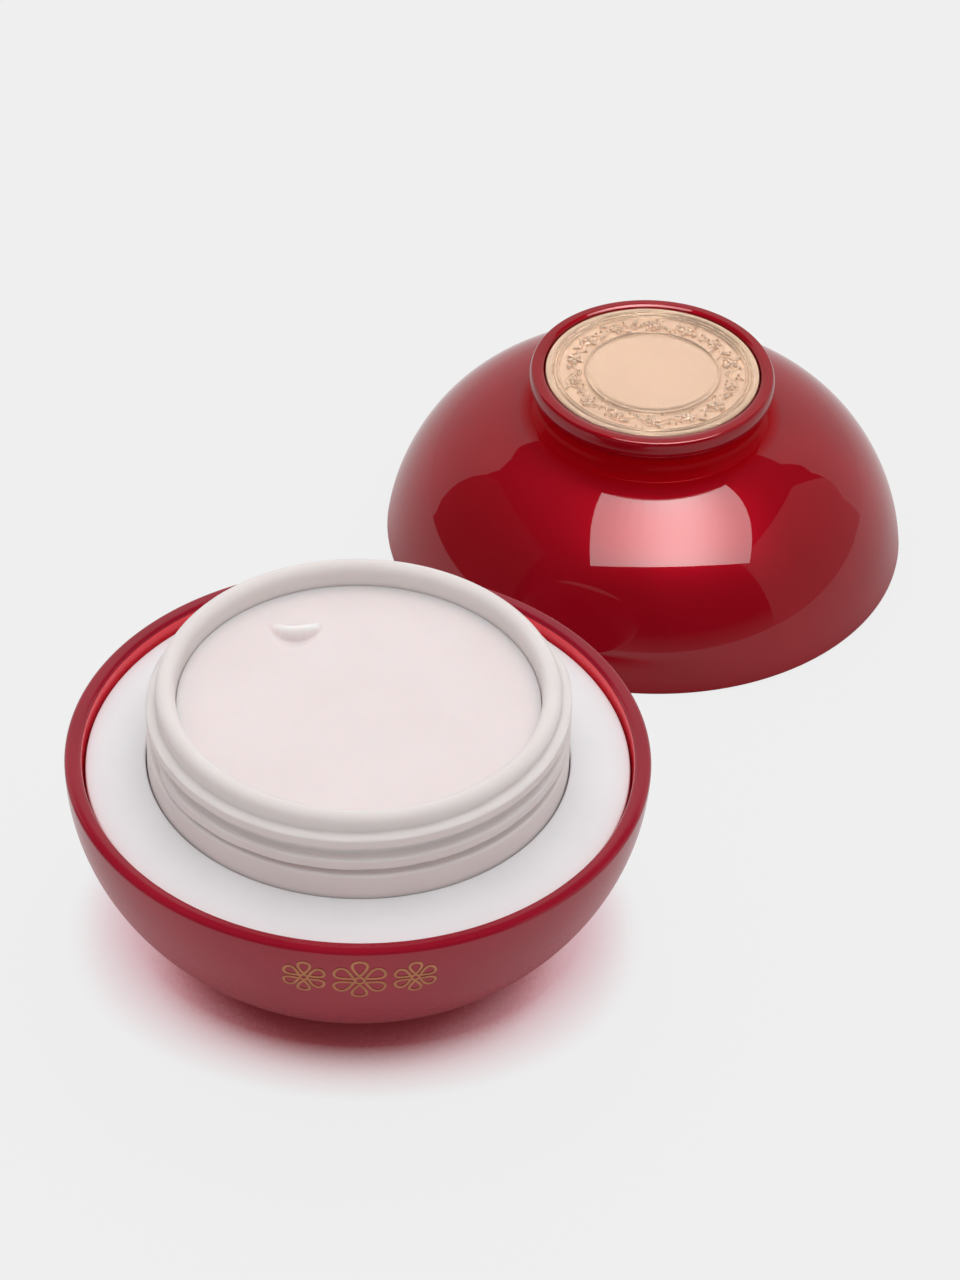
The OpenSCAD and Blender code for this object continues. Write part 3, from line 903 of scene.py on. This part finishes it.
def onBowl(x, depth, lift):  # wraps a point of the flat drawing onto the bowl
    a = math.asin(min(1.0, depth / bowlDepth))
    r = jarRadius * math.cos(a)
    slope = Vector((math.cos(a) / jarRadius, math.sin(a) / bowlDepth)).normalized()
    bearing = math.radians(ornament["bearing"]) + x / r
    out = r + lift * slope.x
    return Vector((out * math.cos(bearing), out * math.sin(bearing), rimZ - depth - lift * slope.y))


def makeOrnament():
    o = ornament
    bm = bmesh.new()
    for column, share in ((-1, o["sideShare"]), (0, o["middleShare"]), (1, o["sideShare"])):
        for stroke in flowerLines(o["size"] * share, o["petals"]):
            path = [(x + column * o["gap"], y) for x, y in stroke]
            closed = math.dist(path[0], path[-1]) < 1e-7
            rows = []
            for i, (x, y) in enumerate(path):
                if closed and i == len(path) - 1:
                    break
                before = path[i - 1] if i else (path[-2] if closed else path[0])
                after = path[i + 1] if i + 1 < len(path) else path[i]
                d = Vector((after[0] - before[0], after[1] - before[1])).normalized()
                row = []
                for s, lift in ((1, 0), (1, 1), (-1, 1), (-1, 0)):
                    px = x - d.y * s * o["width"] / 2
                    py = y + d.x * s * o["width"] / 2
                    rise = (lift - 0.4) * o["thickness"] + o["lift"]
                    row.append(bm.verts.new(onBowl(px, o["drop"] - py, rise)))
                rows.append(row)
            pairs = list(zip(rows, rows[1:])) + ([(rows[-1], rows[0])] if closed else [])
            for a, b in pairs:
                for k in range(4):
                    bm.faces.new((a[k], a[(k + 1) % 4], b[(k + 1) % 4], b[k]))
            if not closed:
                bm.faces.new(rows[0][::-1])
                bm.faces.new(rows[-1])
    bmesh.ops.recalc_face_normals(bm, faces=bm.faces)
    mesh = bpy.data.meshes.new("bowlOrnament")
    bm.to_mesh(mesh)
    bm.free()
    mesh.materials.append(foilGold)
    return addObject("bowlOrnament", mesh)


view = {  # where the camera stands, in metres, and how it looks
    "place": (0.01445, -0.43041, 0.40801), "pitch": 39.805, "roll": 1.943, "lens": 131.1,
}


def makeCamera():
    p, r = math.radians(view["pitch"]), math.radians(view["roll"])
    right = Vector((math.cos(r), math.sin(r) * math.sin(p), math.sin(r) * math.cos(p)))
    ahead = Vector((0, math.cos(p), -math.sin(p)))
    up = right.cross(ahead)
    data = bpy.data.cameras.new("camera")
    data.lens = view["lens"]
    data.sensor_width = 36
    data.clip_start = 0.01
    cam = bpy.data.objects.new("camera", data)
    cam.matrix_world = Matrix.Translation(view["place"]) @ Matrix((right, up, -ahead)).transposed().to_4x4()
    scene.collection.objects.link(cam)
    scene.camera = cam


studio = {
    "pale": 0.863, "floorMix": 0.95, "shadeReach": 15 * mm, "mirrorReach": 45 * mm, "shadeShift": 5 * mm,
    "shadeSqueeze": 0.87, "shadeFrom": 25 * mm, "shadeTo": 34.5 * mm,
    "worldFill": 0.62, "sun": 1.38, "sunAngle": 60.0, "topCard": 13.0, "goldFill": 1.3, "goldGlint": 0.6,
    "backWall": 0.8, "leftCard": 0.1, "rightCard": 0.45, "dark": 0.03, "tentFoot": 0.4, "tentRise": 0.35,
    "floorHalf": 6.0, "wallAway": 1.6, "tentAway": 1.76, "tentRoof": 1.86, "windowHeight": 1.0,
}


def cameraLike(n):  # 1 for rays that should see the pale backdrop
    path = n.add("ShaderNodeLightPath")
    first = n.add("ShaderNodeMath", operation="MAXIMUM")
    n.join(path, "Is Camera Ray", first, 0)
    n.join(path, "Is Glossy Ray", first, 1)
    both = n.add("ShaderNodeMath", operation="MAXIMUM")
    n.join(first, "Value", both, 0)
    n.join(path, "Is Transmission Ray", both, 1)
    return both


def sheet(name, faces):  # a mesh of flat faces that share no corners
    bm = bmesh.new()
    for corners in faces:
        bm.faces.new([bm.verts.new(c) for c in corners])
    mesh = bpy.data.meshes.new(name)
    bm.to_mesh(mesh)
    bm.free()
    return addObject(name, mesh)


def shadeUnderBowl(n, place, white):  # painted shadow: a red shade, set by ambient occlusion, is painted into the floor under the bowl and fades out in an oval
    near = n.add("ShaderNodeAmbientOcclusion", samples=16)
    n.put(near, Distance=studio["shadeReach"])
    tint = rampFrom(n, near, "AO", [(0.16, (0.06, 0.004, 0.006)), (0.27, (0.10, 0.006, 0.009)),
                                    (0.345, (0.20, 0.020, 0.026)), (0.42, (0.45, 0.17, 0.19)),
                                    (0.50, (0.62, 0.38, 0.41)), (0.61, (0.67, 0.44, 0.48)),
                                    (0.78, (0.72, 0.53, 0.57)), (0.95, white)])
    oval = n.add("ShaderNodeMapping")
    oval.inputs["Location"].default_value = (0.0, -studio["shadeShift"], 0.0)
    oval.inputs["Scale"].default_value = (studio["shadeSqueeze"], 1.0, 1.0)
    n.join(place, "Object", oval, "Vector")
    away = n.add("ShaderNodeVectorMath", operation="LENGTH")
    n.join(oval, "Vector", away, 0)
    limit = rangeFrom(n, away, "Value", 0.0, 1.0, studio["shadeFrom"], studio["shadeTo"])
    local = n.add("ShaderNodeMix", data_type="RGBA")
    n.join(limit, "Result", local, "Factor")
    n.join(tint, "Color", local, "A")
    local.inputs["B"].default_value = (*white, 1)
    return local


def shadeInMirror(n, white):  # painted shadow: the broader shade painted into the floor where the lacquer mirrors it
    wide = n.add("ShaderNodeAmbientOcclusion", samples=8)
    n.put(wide, Distance=studio["mirrorReach"])
    return rampFrom(n, wide, "AO", [(0.2, (0.10, 0.010, 0.014)), (0.48, (0.30, 0.10, 0.11)),
                                    (0.63, (0.50, 0.32, 0.33)), (0.82, (0.74, 0.70, 0.70)), (0.97, white)])


def makeFloor():
    half = studio["floorHalf"]
    floor = sheet("floor", [[(-half, -half, 0), (half, -half, 0), (half, half, 0), (-half, half, 0)]])
    mat, n, shader, place = newMaterial("paleFloor")
    white = (studio["pale"],) * 3
    n.put(shader, Base_Color=(*white, 1), Roughness=0.35, Specular_IOR_Level=0.5)
    path = n.add("ShaderNodeLightPath")
    # the floor's glow carries the painted shadows: the near one where the floor is seen straight, the broader
    # one where it is mirrored
    chosen = n.add("ShaderNodeMix", data_type="RGBA")
    n.join(path, "Is Glossy Ray", chosen, "Factor")
    n.join(shadeUnderBowl(n, place, white), "Result", chosen, "A")
    n.join(shadeInMirror(n, white), "Color", chosen, "B")
    glow = n.add("ShaderNodeEmission")
    n.put(glow, Strength=1.0)
    n.join(chosen, "Result", glow, "Color")
    share = n.add("ShaderNodeMath", operation="MULTIPLY")
    share.inputs[1].default_value = studio["floorMix"]
    n.join(cameraLike(n), "Value", share, 0)
    mix = n.add("ShaderNodeMixShader")
    n.join(share, "Value", mix, 0)
    n.join(shader, "BSDF", mix, 1)
    n.join(glow, "Emission", mix, 2)
    n.join(mix, "Shader", mat.node_tree.nodes["Material Output"], "Surface")
    floor.data.materials.append(mat)


def makeCard(name, faces, strength):  # a studio panel that only shows in reflections
    card = sheet(name, faces)
    mat = bpy.data.materials.new(name)
    mat.use_nodes = True
    n = Nodes(mat.node_tree)
    glow = n.add("ShaderNodeEmission")
    n.put(glow, Strength=strength)
    n.join(glow, "Emission", mat.node_tree.nodes["Material Output"], "Surface")
    card.data.materials.append(mat)
    for kind in ("camera", "diffuse", "transmission", "volume_scatter", "shadow"):
        setattr(card, "visible_" + kind, False)
    return card


def addSun(name, energy, angle, tilt):  # tilt is its turn about each axis, in degrees
    light = bpy.data.lights.new(name, "SUN")
    light.energy = energy
    light.angle = math.radians(angle)
    lamp = bpy.data.objects.new(name, light)
    lamp.rotation_euler = [math.radians(a) for a in tilt]
    scene.collection.objects.link(lamp)
    return lamp


def makeStudio():
    s = studio
    makeFloor()
    world = bpy.data.worlds.new("world")
    scene.world = world
    world.use_nodes = True
    n = Nodes(world.node_tree)
    sky = world.node_tree.nodes["Background"]
    level = rangeFrom(n, cameraLike(n), "Value", s["worldFill"], s["pale"])
    n.join(level, "Result", sky, "Strength")
    n.put(sky, Color=(1, 1, 1, 1))
    overhead = addSun("overhead", s["sun"], s["sunAngle"], (-12, 4, 0))
    overhead.visible_glossy = False
    far, wide, roof = s["wallAway"], s["tentAway"], s["tentRoof"]
    # the pale wall behind, its top edge given as (bearing, elevation) seen from the lid
    edge = [(160, 0), (156, 8), (151, 27), (147, 38), (140, 44), (128, 46), (117, 44.5), (104, 44),
            (90, 44.5), (76, 44), (63, 44.5), (55, 44), (47, 38), (40, 34), (33, 22), (24, 7), (18, 0)]
    strip = []
    for bearing, rise in edge:
        a = math.radians(bearing)
        x, y = lidX + far * math.cos(a), lidY + far * math.sin(a)
        strip.append(((x, y, 0.01), (x, y, 0.02 + far * math.tan(math.radians(rise)))))
    makeCard("backWall", [[p[0], q[0], q[1], p[1]] for p, q in zip(strip, strip[1:])], s["backWall"])
    tent = []
    for k in range(24):
        a, b = tau * k / 24, tau * (k + 1) / 24
        tent.append([(lidX + wide * math.cos(a), lidY + wide * math.sin(a), 0.01),
                     (lidX + wide * math.cos(b), lidY + wide * math.sin(b), 0.01),
                     (lidX + wide * math.cos(b), lidY + wide * math.sin(b), roof),
                     (lidX + wide * math.cos(a), lidY + wide * math.sin(a), roof)])
    tent.append([(-2.0, -2.0, roof), (2.0, -2.0, roof), (2.0, 2.0, roof), (-2.0, 2.0, roof)])
    softenFoot(makeCard("darkTent", tent, s["dark"]))
    for side, name, strength in ((-1, "leftCard", s["leftCard"]), (1, "rightCard", s["rightCard"])):
        x = side * (far - 0.15)
        makeCard(name, [[(x, -0.85, 0.02), (x, 1.3, 0.02), (x, 1.3, 1.7), (x, -0.85, 1.7)]], strength)
    return makeWindow()


def softenFoot(card):  # the tent lightens towards the floor, so its edge in the lid is soft
    n = Nodes(card.data.materials[0].node_tree)
    glow = n.tree.nodes["Emission"]
    place = n.add("ShaderNodeTexCoord")
    split = n.add("ShaderNodeSeparateXYZ")
    n.join(place, "Object", split, "Vector")
    level = rangeFrom(n, split, "Z", studio["tentFoot"], studio["dark"], 0.0, studio["tentRise"])
    n.join(level, "Result", glow, "Strength")


def makeWindow():  # the overhead panel mirrored in the lid, brightest along its middle
    z = studio["windowHeight"]
    near = (Vector((-0.42, -0.62, z)), Vector((1.03, -0.48, z)))
    far = (Vector((-0.03, 0.72, z)), Vector((0.29, 0.72, z)))
    faces = []
    strips = 14
    for i in range(strips):
        a, b = i / strips, (i + 1) / strips
        faces.append([near[0].lerp(near[1], a), near[0].lerp(near[1], b),
                      far[0].lerp(far[1], b), far[0].lerp(far[1], a)])
    card = makeCard("topCard", faces, studio["topCard"])
    levels = card.data.attributes.new("level", "FLOAT", "POINT")
    for k, item in enumerate(levels.data):
        i = k // 4 + (k % 4 in (1, 2))
        item.value = 0.45 + 0.6 * math.exp(-((i / strips - 0.5) / 0.26) ** 2)
    n = Nodes(card.data.materials[0].node_tree)
    glow = n.tree.nodes["Emission"]
    read = n.add("ShaderNodeAttribute", attribute_name="level")
    scale = n.add("ShaderNodeMath", operation="MULTIPLY")
    scale.inputs[1].default_value = studio["topCard"]
    n.join(read, "Fac", scale, 0)
    n.join(scale, "Value", glow, "Strength")
    return card


def makeGoldLight(name, energy, angle, tilt):  # a soft light seen only in the gold and the pale parts
    lamp = addSun(name, energy, angle, (tilt, 0, 0))
    lamp.data.cycles.use_multiple_importance_sampling = False
    lamp.visible_diffuse = False
    return lamp


def lightOnly(light, names):  # keeps a light to the named pieces
    group = bpy.data.collections.new(light.name + "Pieces")
    for name in names:
        group.objects.link(bpy.data.objects[name])
    light.light_linking.receiver_collection = group


makeCamera()
window = makeStudio()
goldFill = makeGoldLight("goldFill", studio["goldFill"], 150, 0)
goldGlint = makeGoldLight("goldGlint", studio["goldGlint"], 15, 8)
print("studio ready")

pieces = [
    (makeBaseShell, "jar", "base_shell", "base_lacquer"),
    (makeInnerCup, "jar", "inner_cup", "ivory_plastic"),
    (makeCollar, "jar", "shoulder_collar", "satin_white"),
    (makeCream, "jar", "cream", "cream"),
    (makeOrnament, "jar", None, "rose_gold"),
    (makeLidShell, "lid", "lid_shell", "lid_lacquer"),
    (makeLiner, "lid", "lid_liner", "liner_plastic"),
    (makeGasket, "gasket", "lid_gasket", "foam"),
    (makeMedallion, "lid", "medallion", "rose_gold"),
    (makeWreath, "lid", None, "rose_gold"),
]
for make, body, node, slotName in pieces:
    piece = make()
    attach(piece, body)
    if node:
        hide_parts(node)
    print("made", piece.name, len(piece.data.polygons), "faces")

lightOnly(window, ["lidShell"])
lightOnly(goldFill, ["medallionDisc", "medallionWreath", "bowlOrnament", "creamFill", "innerCup"])
lightOnly(goldGlint, ["medallionDisc", "medallionWreath"])

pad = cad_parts["medallion_pad"]
for slot in pad.material_slots:
    slot.material = adhesive

scene.view_settings.view_transform = "Standard"
